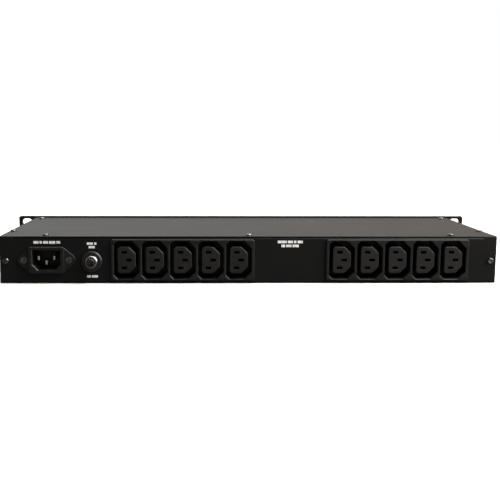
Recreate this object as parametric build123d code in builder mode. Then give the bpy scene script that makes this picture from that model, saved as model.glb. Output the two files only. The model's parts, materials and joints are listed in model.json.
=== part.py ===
from build123d import *
import os

# Rack power strip: a 19 inch, 1U power distribution unit with a flanged appliance inlet, a
# push-to-reset circuit breaker and two strips of five appliance outlets. All sizes in millimetres.
# X runs to the right as seen from the outlet side, Y from the outlet side to the front panel
# and Z up. The origin is the middle of the base's underside.

# Driving dimensions of the case
CHASSIS_WIDTH = 444.5
CHASSIS_DEPTH = 160.0
CHASSIS_HEIGHT = 42.5
SHEET = 1.2
COVER_SHEET = 0.8
BEND = 1.4  # radius of a bend's centre line
FLANGE = 14.0
LIP_TOP = 6.0
FLANGE_END_X = 211.0
LIP_END_X = 205.0
PANEL_WIDTH = 482.6
PANEL_HEIGHT = 44.0
PANEL_THICKNESS = 3.0
PANEL_CORNER = 2.2
RACK_HOLE_SPACING_X = 465.1
RACK_HOLE_SPACING_Z = 31.75
RACK_SLOT_LENGTH = 10.5
RACK_SLOT_WIDTH = 7.0

# Driving dimensions of the outlet strips
OUTLETS_PER_STRIP = 5
OUTLET_PITCH = 25.0
STRIP_X = {"left": -59.3, "right": 133.0}
STRIP_Z = 21.3
BEZEL_WIDTH = 128.2
BEZEL_HEIGHT = 37.0
BEZEL_PROUD = 2.0
RECESS_WIDTH = 22.6
RECESS_HEIGHT = 34.2
RECESS_DEPTH = 18.5
RECESS_FLOOR = 1.5
STRIP_WALL = 0.9
STRIP_BODY_DEPTH = 30.0
CORE_WIDTH = 16.2
CORE_HEIGHT = 24.0
SLOT_WIDTH = 5.0
SLOT_HEIGHT = 2.6
CAVITY_WIDTH = 5.6
CAVITY_HEIGHT = 3.8
# Places of the three contacts, from the middle of an outlet: (x, z)
CONTACTS = {"line": (-2.0, 7.0), "neutral": (-2.0, -7.0), "earth": (2.0, 0.0)}

# Driving dimensions of the inlet
INLET_X = -180.4
INLET_Z = 21.4
INLET_SCREW_SPACING = 40.0
INLET_OPENING = (24.6, 17.6)
INLET_CUTOUT = (28.6, 21.2)
INLET_DEPTH = 17.3
PIN_WIDTH = 2.0
PIN_HEIGHT = 4.0
POWER_PIN_X = 7.0
PIN_OFFSET_Z = 2.0

# Driving dimensions of the breaker, the switch and the lamp
BREAKER_X = -140.4
BREAKER_Z = 20.0
BUTTON_RADIUS = 3.9
BUTTON_PROUD = 4.0
BUSHING_RADIUS = 5.5
SWITCH_X = -188.0
SWITCH_Z = 22.0
SWITCH_TILT = 9.0
BRIDGE_RATIO = 0.8
POLE_X = 5.0
LAMP_X = -158.0

# Electrical fittings
TAB_WIDTH = 6.3
TAB_THICKNESS = 0.8
SLEEVE_LENGTH = 17.0
WIRE_RADIUS = 1.5
LAMP_WIRE_RADIUS = 0.8
STUD_X = -150.0
STUD_Y = -20.0
LUG_Z = 4.5

# Places worked out from them
SIDE_X = CHASSIS_WIDTH / 2
REAR_Y = -CHASSIS_DEPTH / 2
FRONT_Y = CHASSIS_DEPTH / 2
WALL_Y = REAR_Y + SHEET
COVER_BOTTOM = CHASSIS_HEIGHT - COVER_SHEET
FLAT_TOP = COVER_BOTTOM - SHEET / 2 - BEND  # where the rear wall starts to bend
PANEL_Z = PANEL_HEIGHT / 2
PANEL_FACE_Y = FRONT_Y + PANEL_THICKNESS
BEZEL_Y = REAR_Y - BEZEL_PROUD
RECESS_END_Y = BEZEL_Y + RECESS_DEPTH
FLOOR_END_Y = RECESS_END_Y + RECESS_FLOOR
STRIP_END_Y = REAR_Y + STRIP_BODY_DEPTH
CAVITY_WIDTH_ALL = (OUTLETS_PER_STRIP - 1) * OUTLET_PITCH + RECESS_WIDTH
STRIP_BODY_WIDTH = CAVITY_WIDTH_ALL + 2 * STRIP_WALL
STRIP_BODY_HEIGHT = RECESS_HEIGHT + 2 * STRIP_WALL

REAR = (0, -1, 0)
FRONT = (0, 1, 0)
UP = (0, 0, 1)
DOWN = (0, 0, -1)

os.makedirs("parts", exist_ok=True)


def write(piece, name):
    """Label a finished piece and write it to its own file."""
    piece.part.label = name
    export_step(piece.part, f"parts/{name}.step")


def rear_plane(y):
    """Plane at Y = y that looks out of the outlet side, with X right and Z up."""
    return Plane.XZ.offset(-y)


def facing(direction, *points):
    """Planes at the points, with their normals along the direction and X to the right."""
    return [Plane(origin=point, x_dir=(1, 0, 0), z_dir=direction) for point in points]


def block(low, high, mode=Mode.ADD):
    """Box between two corners, in the part being built."""
    middle = tuple((a + b) / 2 for a, b in zip(low, high))
    with Locations(middle):
        Box(*(b - a for a, b in zip(low, high)), mode=mode)


def outlet_places(centre_x, offset=(0.0, 0.0)):
    """Middles of a strip's outlets, each moved by the offset, in the rear plane."""
    first = centre_x - (OUTLETS_PER_STRIP - 1) * OUTLET_PITCH / 2
    return [
        (first + n * OUTLET_PITCH + offset[0], STRIP_Z + offset[1])
        for n in range(OUTLETS_PER_STRIP)
    ]


# ---------------------------------------------------------------- places of the fasteners

REAR_COVER_SCREWS = [(x, REAR_Y + 8.0) for x in (-182.5, 0.0, 182.5)]
SIDE_COVER_SCREWS = [(side * 218.3, REAR_Y + 38.0) for side in (-1, 1)]
FRONT_COVER_SCREWS = [(side * 214.0, REAR_Y + 147.0) for side in (-1, 1)]
COVER_SCREWS = REAR_COVER_SCREWS + SIDE_COVER_SCREWS + FRONT_COVER_SCREWS
STIFFENER_SCREWS = [(side * 72.0, REAR_Y + 126.0) for side in (-1, 1)]
WALL_SCREWS = [(side * 217.0, 20.4) for side in (-1, 1)]
BASE_SCREWS = [(side * 214.5, y) for side in (-1, 1) for y in (-58.0, 0.0, 58.0)]
PANEL_SCREWS = [(side * 215.5, z) for side in (-1, 1) for z in (12.0, 32.0)]
INLET_SCREWS = [(INLET_X + side * INLET_SCREW_SPACING / 2, INLET_Z) for side in (-1, 1)]
SCREW_RADIUS = 1.45
SCREW_HOLE = 1.6
TAPPED_HOLE = 1.5

# ---------------------------------------------------------------- case

with BuildPart() as base_pan:
    with BuildSketch(Plane.YZ):
        with BuildLine():
            FilletPolyline(
                (REAR_Y + FLANGE, COVER_BOTTOM - SHEET / 2),
                (REAR_Y + SHEET / 2, COVER_BOTTOM - SHEET / 2),
                (REAR_Y + SHEET / 2, SHEET / 2),
                (FRONT_Y - SHEET / 2, SHEET / 2),
                (FRONT_Y - SHEET / 2, LIP_TOP),
                radius=BEND,
            )
        trace(line_width=SHEET)
    extrude(amount=SIDE_X, both=True)
    for side in (-1, 1):
        # The top flange stops short of the side walls, and the rear wall goes on up as a flat tab.
        low_x, high_x = sorted((side * FLANGE_END_X, side * SIDE_X))
        flange_end = (high_x, WALL_Y + FLANGE, COVER_BOTTOM)
        block((low_x, REAR_Y, FLAT_TOP), flange_end, Mode.SUBTRACT)
        block((low_x, REAR_Y, FLAT_TOP), (high_x, WALL_Y, COVER_BOTTOM))
        # The front lip stops short of them too.
        low_x, high_x = sorted((side * LIP_END_X, side * SIDE_X))
        block((low_x, FRONT_Y - 2.2, SHEET), (high_x, FRONT_Y, LIP_TOP), Mode.SUBTRACT)
    with BuildSketch(rear_plane(REAR_Y)):
        with Locations(*[(x, STRIP_Z) for x in STRIP_X.values()]):
            Rectangle(STRIP_BODY_WIDTH + 0.4, STRIP_BODY_HEIGHT + 0.3)
        with Locations((INLET_X, INLET_Z)):
            Rectangle(*INLET_CUTOUT)
        with Locations(*INLET_SCREWS, *WALL_SCREWS):
            Circle(SCREW_HOLE)
        with Locations((BREAKER_X, BREAKER_Z)):
            Circle(BUSHING_RADIUS + 0.15)
    extrude(amount=-2 * SHEET, mode=Mode.SUBTRACT)
    with Locations(*facing(UP, *[(x, y, COVER_BOTTOM) for x, y in REAR_COVER_SCREWS])):
        Hole(TAPPED_HOLE, depth=SHEET)
    with Locations(*facing(DOWN, *[(x, y, 0) for x, y in BASE_SCREWS])):
        CounterSinkHole(SCREW_HOLE, 2.7, depth=SHEET, counter_sink_angle=100)
write(base_pan, "base_pan")

with BuildPart() as side_wall_left:
    flange_x = -(SIDE_X - FLANGE)
    web_x = -(SIDE_X - SHEET / 2)
    with BuildSketch(rear_plane(FRONT_Y)):
        with BuildLine():
            FilletPolyline(
                (flange_x, COVER_BOTTOM - SHEET / 2),
                (web_x, COVER_BOTTOM - SHEET / 2),
                (web_x, 1.5 * SHEET),
                (flange_x, 1.5 * SHEET),
                radius=BEND,
            )
        trace(line_width=SHEET)
    extrude(amount=FRONT_Y - WALL_Y - 0.8)
    # Room for the base pan's top flange and its bend
    room_low = (-219.5, REAR_Y, FLAT_TOP + 0.2)
    block(room_low, (-200.0, REAR_Y + FLANGE + 0.5, CHASSIS_HEIGHT), Mode.SUBTRACT)
    # End tabs that take the rear wall's and the front panel's screws
    block((-SIDE_X, WALL_Y, 4.0), (-209.0, WALL_Y + SHEET, 38.0))
    block((-SIDE_X, FRONT_Y - SHEET, 4.0), (-209.0, FRONT_Y, 38.0))
    bend_edges = side_wall_left.edges().filter_by(Axis.Z).group_by(Axis.X)[0]
    fillet(bend_edges.filter_by(lambda edge: 33.0 < edge.length < 35.0), 0.7)
    with Locations(*facing(REAR, *[(x, WALL_Y, z) for x, z in WALL_SCREWS if x < 0])):
        Hole(TAPPED_HOLE, depth=SHEET)
    with Locations(*facing(FRONT, *[(x, FRONT_Y, z) for x, z in PANEL_SCREWS if x < 0])):
        Hole(TAPPED_HOLE, depth=SHEET)
    tapped = [(x, y) for x, y in SIDE_COVER_SCREWS + FRONT_COVER_SCREWS if x < 0]
    with Locations(*facing(UP, *[(x, y, COVER_BOTTOM) for x, y in tapped])):
        Hole(TAPPED_HOLE, depth=SHEET)
    with Locations(*facing(UP, *[(x, y, 2 * SHEET) for x, y in BASE_SCREWS if x < 0])):
        Hole(TAPPED_HOLE, depth=SHEET)
write(side_wall_left, "side_wall_left")

with BuildPart() as side_wall_right:
    mirror(side_wall_left.part, about=Plane.YZ)
write(side_wall_right, "side_wall_right")

with BuildPart() as top_cover:
    with BuildSketch(Plane.XY.offset(COVER_BOTTOM)):
        RectangleRounded(CHASSIS_WIDTH, CHASSIS_DEPTH, 0.8)
    extrude(amount=COVER_SHEET)
    fillet(top_cover.faces().sort_by(Axis.Z)[-1].edges(), 0.15)
    with Locations(*facing(UP, *[(x, y, CHASSIS_HEIGHT) for x, y in COVER_SCREWS])):
        Hole(SCREW_HOLE, depth=COVER_SHEET)
    with Locations(*facing(UP, *[(x, y, CHASSIS_HEIGHT) for x, y in STIFFENER_SCREWS])):
        CounterSinkHole(SCREW_HOLE, 2.7, depth=COVER_SHEET, counter_sink_angle=100)
write(top_cover, "top_cover")

with BuildPart() as cover_stiffener:
    stiffener_y = STIFFENER_SCREWS[0][1]
    with BuildSketch(Plane.YZ):
        with BuildLine():
            FilletPolyline(
                (stiffener_y - 6.0, COVER_BOTTOM - SHEET / 2),
                (stiffener_y + 7.0, COVER_BOTTOM - SHEET / 2),
                (stiffener_y + 7.0, COVER_BOTTOM - 9.0),
                radius=BEND,
            )
        trace(line_width=SHEET)
    extrude(amount=88.0, both=True)
    with Locations(*facing(UP, *[(x, y, COVER_BOTTOM) for x, y in STIFFENER_SCREWS])):
        Hole(TAPPED_HOLE, depth=SHEET)
write(cover_stiffener, "cover_stiffener")

with BuildPart() as front_panel:
    with BuildSketch(rear_plane(FRONT_Y)):
        with Locations((0, PANEL_Z)):
            RectangleRounded(PANEL_WIDTH, PANEL_HEIGHT, PANEL_CORNER)
    extrude(amount=-PANEL_THICKNESS)
    fillet(front_panel.faces().sort_by(Axis.Y)[-1].edges(), 0.6)
    with BuildSketch(rear_plane(FRONT_Y)):
        with Locations((0, PANEL_Z)):
            with GridLocations(RACK_HOLE_SPACING_X, RACK_HOLE_SPACING_Z, 2, 2):
                SlotOverall(RACK_SLOT_LENGTH, RACK_SLOT_WIDTH)
        with Locations((SWITCH_X, SWITCH_Z)):
            Rectangle(22.0, 30.0)
        with Locations((LAMP_X, SWITCH_Z)):
            Circle(4.1)
    extrude(amount=-PANEL_THICKNESS, mode=Mode.SUBTRACT)
    with Locations(*facing(FRONT, *[(x, PANEL_FACE_Y, z) for x, z in PANEL_SCREWS])):
        CounterSinkHole(SCREW_HOLE, 2.9, depth=PANEL_THICKNESS, counter_sink_angle=90)
write(front_panel, "front_panel")

# ---------------------------------------------------------------- screws and nuts


def cross_recess(depth):
    """Cross recess in the top of a screw's head, in the part being built."""
    for size in ((3.0, 0.8), (0.8, 3.0)):
        Box(*size, 2 * depth, mode=Mode.SUBTRACT)
    Cone(0.2, 1.0, 2 * depth, mode=Mode.SUBTRACT)


def pan_screw(head_radius, head_height, length):
    """Pan head on the plane Z = 0, shank below it."""
    with BuildPart() as screw:
        Cylinder(head_radius, head_height, align=(Align.CENTER, Align.CENTER, Align.MIN))
        fillet(screw.faces().sort_by(Axis.Z)[-1].edges(), 0.6 * head_height)
        Cylinder(SCREW_RADIUS, length, align=(Align.CENTER, Align.CENTER, Align.MAX))
        with Locations((0, 0, head_height)):
            cross_recess(0.6 * head_height)
    return screw


def flat_screw(head_radius, cone_height, length):
    """Countersunk head with its flat top on the plane Z = 0, shank below it."""
    with BuildPart() as screw:
        Cylinder(SCREW_RADIUS, length, align=(Align.CENTER, Align.CENTER, Align.MAX))
        Cone(SCREW_RADIUS, head_radius, cone_height, align=(Align.CENTER, Align.CENTER, Align.MAX))
        cross_recess(0.7 * cone_height)
    return screw


def hex_nut(across_flats, height, bore):
    """Hexagon nut standing on the plane Z = 0."""
    with BuildPart() as nut:
        with BuildSketch():
            RegularPolygon(across_flats / 2, 6, major_radius=False)
            Circle(bore, mode=Mode.SUBTRACT)
        extrude(amount=height)
    return nut


def group(piece, planes):
    """Copies of a piece on the planes, as one group of separate solids."""
    with BuildPart() as copies:
        with Locations(*planes):
            add(piece.part)
    return copies


cover_screw = pan_screw(2.8, 1.5, 3.0)
cover_places = facing(UP, *[(x, y, CHASSIS_HEIGHT) for x, y in COVER_SCREWS])
write(group(cover_screw, cover_places), "cover_screws")

stiffener_screw = flat_screw(2.45, 0.7, 4.0)
stiffener_places = facing(UP, *[(x, y, CHASSIS_HEIGHT - 0.05) for x, y in STIFFENER_SCREWS])
write(group(stiffener_screw, stiffener_places), "stiffener_screws")

wall_screw = pan_screw(2.8, 1.6, 6.0)
wall_places = facing(REAR, *[(x, REAR_Y, z) for x, z in WALL_SCREWS])
write(group(wall_screw, wall_places), "rear_wall_screws")

base_places = facing(DOWN, *[(x, y, 0.05) for x, y in BASE_SCREWS])
write(group(stiffener_screw, base_places), "base_screws")

panel_screw = flat_screw(2.8, 1.3, 8.0)
panel_places = facing(FRONT, *[(x, PANEL_FACE_Y - 0.05, z) for x, z in PANEL_SCREWS])
write(group(panel_screw, panel_places), "front_panel_screws")

# ---------------------------------------------------------------- outlet strips

with BuildSketch() as recess_outline:
    # 45 degree corners, larger on the earth side
    Rectangle(RECESS_WIDTH, RECESS_HEIGHT)
    chamfer(recess_outline.vertices().group_by(Axis.X)[-1], 6.4)
    chamfer(recess_outline.vertices().group_by(Axis.X)[0], 3.3)

with BuildSketch() as core_outline:
    Rectangle(CORE_WIDTH, CORE_HEIGHT)
    chamfer(core_outline.vertices().group_by(Axis.X)[-1], 5.9)
    fillet(core_outline.vertices().filter_by_position(Axis.X, 0, CORE_WIDTH), 3.0)
    fillet(core_outline.vertices().group_by(Axis.X)[0], 2.8)

with BuildSketch() as core_hole:
    add(core_outline.sketch)
    offset(amount=0.1, kind=Kind.INTERSECTION)


def outlet_frame(centre_x):
    """Bezel, outer walls and dividers of a strip, with a floor that carries the cores."""
    with BuildPart() as frame:
        with BuildSketch(rear_plane(REAR_Y)):
            with Locations((centre_x, STRIP_Z)):
                RectangleRounded(BEZEL_WIDTH, BEZEL_HEIGHT, 2.0)
        extrude(amount=BEZEL_PROUD)
        fillet(frame.faces().sort_by(Axis.Y)[0].outer_wire().edges(), 0.8)
        with BuildSketch(rear_plane(REAR_Y)):
            with Locations((centre_x, STRIP_Z)):
                Rectangle(STRIP_BODY_WIDTH, STRIP_BODY_HEIGHT)
        extrude(amount=-STRIP_BODY_DEPTH)
        with BuildSketch(rear_plane(BEZEL_Y)):
            with Locations(*outlet_places(centre_x)):
                add(recess_outline.sketch)
        extrude(amount=-RECESS_DEPTH, mode=Mode.SUBTRACT)
        mouths = frame.faces().sort_by(Axis.Y)[0].inner_wires()
        chamfer([edge for mouth in mouths for edge in mouth.edges()], 0.5)
        with BuildSketch(rear_plane(RECESS_END_Y)):
            with Locations(*outlet_places(centre_x)):
                add(core_hole.sketch)
        extrude(amount=-RECESS_FLOOR, mode=Mode.SUBTRACT)
        with BuildSketch(rear_plane(FLOOR_END_Y)):
            with Locations((centre_x, STRIP_Z)):
                Rectangle(CAVITY_WIDTH_ALL, RECESS_HEIGHT)
        extrude(amount=FLOOR_END_Y - STRIP_END_Y, mode=Mode.SUBTRACT)
    return frame


def outlet_cores(centre_x):
    """The five cores of a strip, each with three slots and the cavities behind them."""
    slots = [place for offset_xz in CONTACTS.values() for place in outlet_places(centre_x, offset_xz)]
    with BuildPart() as cores:
        with BuildSketch(rear_plane(BEZEL_Y)):
            with Locations(*outlet_places(centre_x)):
                add(core_outline.sketch)
        extrude(amount=BEZEL_Y - FLOOR_END_Y)
        chamfer(cores.faces().group_by(Axis.Y)[0].edges(), 0.45)
        with BuildSketch(rear_plane(BEZEL_Y)):
            with Locations(*slots):
                Rectangle(SLOT_WIDTH, SLOT_HEIGHT)
        extrude(amount=-2.0, mode=Mode.SUBTRACT)
        with BuildSketch(rear_plane(BEZEL_Y + 1.6)):
            with Locations(*slots):
                Rectangle(CAVITY_WIDTH, CAVITY_HEIGHT)
        extrude(amount=-RECESS_DEPTH, mode=Mode.SUBTRACT)
    return cores


LEAF_HALF_WIDTH = 2.2
LEAF_INNER = 1.05  # from the pin's axis to a leaf's near face
LEAF_OUTER = 1.65
LEAF_SETBACK = 6.5  # from an outlet's face to the tips of its contacts
BUS_FRONT_Y = FLOOR_END_Y + 2.4
BUS_END_Y = STRIP_END_Y - 4.0
STRIP_TAB_END_Y = STRIP_END_Y + 10.0


def outlet_bus(centre_x, contact):
    """Bus bar of one pole: a forked contact in each outlet, and a push-on tab at the left end."""
    places = outlet_places(centre_x, CONTACTS[contact])
    leaf_y = (BEZEL_Y + LEAF_SETBACK, BUS_FRONT_Y + 0.6)
    with BuildPart() as bus:
        for x, z in places:
            low_x = x - LEAF_HALF_WIDTH
            high_x = x + LEAF_HALF_WIDTH
            block((low_x, leaf_y[0], z - LEAF_OUTER), (high_x, leaf_y[1], z - LEAF_INNER))
            block((low_x, leaf_y[0], z + LEAF_INNER), (high_x, leaf_y[1], z + LEAF_OUTER))
            block((low_x, BUS_FRONT_Y, z - LEAF_OUTER), (high_x, leaf_y[1], z + LEAF_OUTER))
        first_x, z = places[0]
        bar_low = (first_x - LEAF_HALF_WIDTH, BUS_FRONT_Y, z - LEAF_OUTER)
        block(bar_low, (places[-1][0] + LEAF_HALF_WIDTH, BUS_END_Y, z - LEAF_INNER))
        tab_low = (first_x - TAB_WIDTH / 2, BUS_END_Y, z - LEAF_OUTER)
        block(tab_low, (first_x + TAB_WIDTH / 2, STRIP_TAB_END_Y, z - LEAF_INNER))
    return bus


def strip_tab(centre_x, contact):
    """Middle of a strip's push-on tab, in the rear plane."""
    x, z = outlet_places(centre_x, CONTACTS[contact])[0]
    return x, z - (LEAF_INNER + LEAF_OUTER) / 2


def outlet_back(centre_x):
    """Cover in the back of a strip, slotted for the three tabs."""
    with BuildPart() as back:
        with BuildSketch(rear_plane(STRIP_END_Y)):
            with Locations((centre_x, STRIP_Z)):
                Rectangle(CAVITY_WIDTH_ALL - 0.3, RECESS_HEIGHT - 0.3)
            with Locations(*[strip_tab(centre_x, contact) for contact in CONTACTS]):
                Rectangle(TAB_WIDTH + 0.4, 1.2, mode=Mode.SUBTRACT)
        extrude(amount=1.5)
    return back


for side, strip_x in STRIP_X.items():
    write(outlet_frame(strip_x), f"outlet_frame_{side}")
    write(outlet_cores(strip_x), f"outlet_cores_{side}")
    write(outlet_back(strip_x), f"outlet_back_{side}")
    for pole in CONTACTS:
        write(outlet_bus(strip_x, pole), f"{pole}_bus_{side}")

# ---------------------------------------------------------------- appliance inlet

INLET_FLANGE = 2.0
INLET_BLOCK_PROUD = 1.8
INLET_FACE_Y = REAR_Y - INLET_FLANGE - INLET_BLOCK_PROUD
INLET_FLOOR_Y = INLET_FACE_Y + INLET_DEPTH
INLET_END_Y = INLET_FLOOR_Y + 4.5
INLET_TAB_END_Y = INLET_END_Y + 10.0

with BuildSketch() as inlet_ears:
    # Round ears about the screws, joined to the block by straight sides
    with GridLocations(INLET_SCREW_SPACING, 0, 2, 1):
        Circle(5.6)
    Rectangle(29.0, 23.6)
    make_hull()

with BuildSketch() as inlet_mouth:
    Rectangle(*INLET_OPENING)
    chamfer(inlet_mouth.vertices().group_by(Axis.Y)[0], 5.0)

with BuildPart() as inlet_housing:
    with BuildSketch(rear_plane(REAR_Y)):
        with Locations((INLET_X, INLET_Z)):
            add(inlet_ears.sketch)
    extrude(amount=INLET_FLANGE)
    fillet(inlet_housing.faces().sort_by(Axis.Y)[0].edges(), 0.5)
    with BuildSketch(rear_plane(REAR_Y - INLET_FLANGE)):
        with Locations((INLET_X, INLET_Z)):
            RectangleRounded(31.6, 23.8, 1.6)
    extrude(amount=INLET_BLOCK_PROUD)
    fillet(inlet_housing.faces().sort_by(Axis.Y)[0].edges(), 0.6)
    with BuildSketch(rear_plane(REAR_Y)):
        with Locations((INLET_X, INLET_Z)):
            Rectangle(28.2, 20.8)
    extrude(amount=REAR_Y - INLET_END_Y)
    with BuildSketch(rear_plane(INLET_FACE_Y)):
        with Locations((INLET_X, INLET_Z)):
            add(inlet_mouth.sketch)
    extrude(amount=-INLET_DEPTH, mode=Mode.SUBTRACT)
    mouth = inlet_housing.faces().sort_by(Axis.Y)[0].inner_wires()[0]
    chamfer(mouth.edges(), 0.7)
    with Locations(*facing(REAR, *[(x, REAR_Y - INLET_FLANGE, z) for x, z in INLET_SCREWS])):
        CounterSinkHole(SCREW_HOLE, 3.0, depth=INLET_FLANGE, counter_sink_angle=90)
    # The pins fill these three slots in the back wall.
    with BuildSketch(rear_plane(INLET_FLOOR_Y)):
        with Locations((INLET_X, INLET_Z + PIN_OFFSET_Z)):
            with GridLocations(2 * POWER_PIN_X, 0, 2, 1):
                Rectangle(PIN_WIDTH, PIN_HEIGHT)
        with Locations((INLET_X, INLET_Z - PIN_OFFSET_Z)):
            Rectangle(PIN_WIDTH, PIN_HEIGHT)
    extrude(amount=INLET_FLOOR_Y - INLET_END_Y, mode=Mode.SUBTRACT)
write(inlet_housing, "inlet_housing")


def pin(x, z, tip_y):
    """Inlet pin with a chamfered tip and a push-on tab behind the housing."""
    low = (x - PIN_WIDTH / 2, tip_y, z - PIN_HEIGHT / 2)
    with BuildPart() as blade:
        block(low, (x + PIN_WIDTH / 2, INLET_END_Y, z + PIN_HEIGHT / 2))
        chamfer(blade.faces().sort_by(Axis.Y)[0].edges(), 0.5)
        tab_low = (x - TAB_THICKNESS / 2, INLET_END_Y, z - TAB_WIDTH / 2)
        block(tab_low, (x + TAB_THICKNESS / 2, INLET_TAB_END_Y, z + TAB_WIDTH / 2))
    return blade


power_pin_x = (INLET_X - POWER_PIN_X, INLET_X + POWER_PIN_X)
power_pins = [pin(x, INLET_Z + PIN_OFFSET_Z, INLET_FACE_Y + 1.8) for x in power_pin_x]
with BuildPart() as inlet_power_pins:
    for power_pin in power_pins:
        add(power_pin.part)
write(inlet_power_pins, "inlet_power_pins")
write(pin(INLET_X, INLET_Z - PIN_OFFSET_Z, INLET_FACE_Y + 0.8), "inlet_earth_pin")

inlet_screw = flat_screw(2.9, 1.35, 8.0)
inlet_places = facing(REAR, *[(x, REAR_Y - INLET_FLANGE + 0.05, z) for x, z in INLET_SCREWS])
write(group(inlet_screw, inlet_places), "inlet_screws")
inlet_nut = hex_nut(5.5, 2.4, TAPPED_HOLE)
nut_places = facing(FRONT, *[(x, WALL_Y, z) for x, z in INLET_SCREWS])
write(group(inlet_nut, nut_places), "inlet_nuts")

# ---------------------------------------------------------------- circuit breaker

BREAKER_END_Y = -48.0
BUSHING_LENGTH = 7.0
COLLAR_RADIUS = 6.4
THREAD_PITCH = 1.0
THREAD_DEPTH = 0.45
NUT_RADIUS = 9.4
NUT_HEIGHT = 3.0
BUTTON_REAR_Y = REAR_Y - 1.0
BUTTON_FACE_Y = REAR_Y - BUSHING_LENGTH - BUTTON_PROUD
STEM_RADIUS = 1.5
BRIDGE_Y = -63.0
BREAKER_TERMINAL_Z = (BREAKER_Z - 9.0, BREAKER_Z + 9.0)
BREAKER_TAB_END_Y = -36.0
BREAKER_HALF = (8.0, 15.0)
BREAKER_WALL = 1.4

with BuildPart() as breaker_body:
    with BuildSketch(rear_plane(WALL_Y)):
        with Locations((BREAKER_X, BREAKER_Z)):
            RectangleRounded(2 * BREAKER_HALF[0], 2 * BREAKER_HALF[1], 1.0)
    extrude(amount=WALL_Y - BREAKER_END_Y)
    with BuildSketch(rear_plane(WALL_Y + BREAKER_WALL)):
        with Locations((BREAKER_X, BREAKER_Z)):
            Rectangle(2 * (BREAKER_HALF[0] - BREAKER_WALL), 2 * (BREAKER_HALF[1] - BREAKER_WALL))
    extrude(amount=WALL_Y - BREAKER_END_Y, mode=Mode.SUBTRACT)
    with Locations(*facing(REAR, (BREAKER_X, WALL_Y, BREAKER_Z))):
        Hole(BUSHING_RADIUS + 0.02, depth=BREAKER_WALL)
write(breaker_body, "breaker_body")

with BuildPart() as breaker_bushing:
    # Collar inside the body, a plain neck through the wall and a thread of ridges outside it
    bushing_start_y = WALL_Y + BREAKER_WALL
    neck_length = bushing_start_y - REAR_Y
    with Locations(*facing(FRONT, (BREAKER_X, bushing_start_y, BREAKER_Z))):
        Cylinder(COLLAR_RADIUS, 1.0, align=(Align.CENTER, Align.CENTER, Align.MIN))
    with Locations(*facing(REAR, (BREAKER_X, bushing_start_y, BREAKER_Z))):
        Cylinder(BUSHING_RADIUS, neck_length, align=(Align.CENTER, Align.CENTER, Align.MIN))
    root_radius = BUSHING_RADIUS - THREAD_DEPTH
    half_pitch = THREAD_PITCH / 2
    for n in range(round(BUSHING_LENGTH / THREAD_PITCH)):
        ridge_y = REAR_Y - n * THREAD_PITCH
        with Locations(*facing(REAR, (BREAKER_X, ridge_y, BREAKER_Z))):
            Cone(root_radius, BUSHING_RADIUS, half_pitch, align=(Align.CENTER, Align.CENTER, Align.MIN))
        with Locations(*facing(REAR, (BREAKER_X, ridge_y - half_pitch, BREAKER_Z))):
            Cone(BUSHING_RADIUS, root_radius, half_pitch, align=(Align.CENTER, Align.CENTER, Align.MIN))
    with Locations(*facing(REAR, (BREAKER_X, REAR_Y - BUSHING_LENGTH, BREAKER_Z))):
        Hole(BUTTON_RADIUS + 0.15, depth=BUSHING_LENGTH)
        Hole(STEM_RADIUS + 0.06, depth=BUSHING_LENGTH + neck_length + 1.0)
write(breaker_bushing, "breaker_bushing")

with BuildPart() as breaker_nut:
    with BuildSketch(rear_plane(REAR_Y)):
        with Locations((BREAKER_X, BREAKER_Z)):
            Circle(NUT_RADIUS)
            Circle(BUSHING_RADIUS + 0.1, mode=Mode.SUBTRACT)
    extrude(amount=NUT_HEIGHT)
    chamfer(breaker_nut.faces().sort_by(Axis.Y)[0].edges(), 0.8)
    # Grip notches round the rim
    with Locations(*facing(REAR, (BREAKER_X, REAR_Y, BREAKER_Z))):
        with PolarLocations(NUT_RADIUS + 0.25, 24):
            Cylinder(0.55, 2 * NUT_HEIGHT + 1, mode=Mode.SUBTRACT)
write(breaker_nut, "breaker_nut")

with BuildPart() as reset_button:
    button_length = BUTTON_REAR_Y - BUTTON_FACE_Y
    stem_length = BRIDGE_Y + 3.0 - BUTTON_REAR_Y
    with Locations(*facing(REAR, (BREAKER_X, BUTTON_REAR_Y, BREAKER_Z))):
        Cylinder(BUTTON_RADIUS, button_length, align=(Align.CENTER, Align.CENTER, Align.MIN))
    fillet(reset_button.faces().sort_by(Axis.Y)[0].edges(), 0.6)
    # Shallow dish for the finger
    with Locations((BREAKER_X, BUTTON_FACE_Y - 5.0, BREAKER_Z)):
        Sphere(5.75, mode=Mode.SUBTRACT)
    with Locations(*facing(FRONT, (BREAKER_X, BUTTON_REAR_Y, BREAKER_Z))):
        Cylinder(STEM_RADIUS, stem_length, align=(Align.CENTER, Align.CENTER, Align.MIN))
write(reset_button, "reset_button")

with BuildPart() as breaker_contact_bridge:
    bridge_low = (BREAKER_X - 4.0, BRIDGE_Y - 1.0, BREAKER_Z - 11.0)
    block(bridge_low, (BREAKER_X + 4.0, BRIDGE_Y, BREAKER_Z + 11.0))
    with Locations(*facing(FRONT, (BREAKER_X, BRIDGE_Y, BREAKER_Z))):
        Hole(STEM_RADIUS, depth=1.0)
write(breaker_contact_bridge, "breaker_contact_bridge")

with BuildPart() as breaker_spring:
    spring_radius = 2.4
    spring_wire = 0.3
    spring_start = (BREAKER_X, BRIDGE_Y + 0.5, BREAKER_Z)
    with BuildLine() as coil:
        Helix(2.0, 12.0, spring_radius, center=spring_start, direction=FRONT)
    with BuildSketch(Plane(origin=coil.line @ 0, z_dir=coil.line % 0)):
        Circle(spring_wire)
    sweep(path=coil.line, is_frenet=True)
write(breaker_spring, "breaker_spring")

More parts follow.
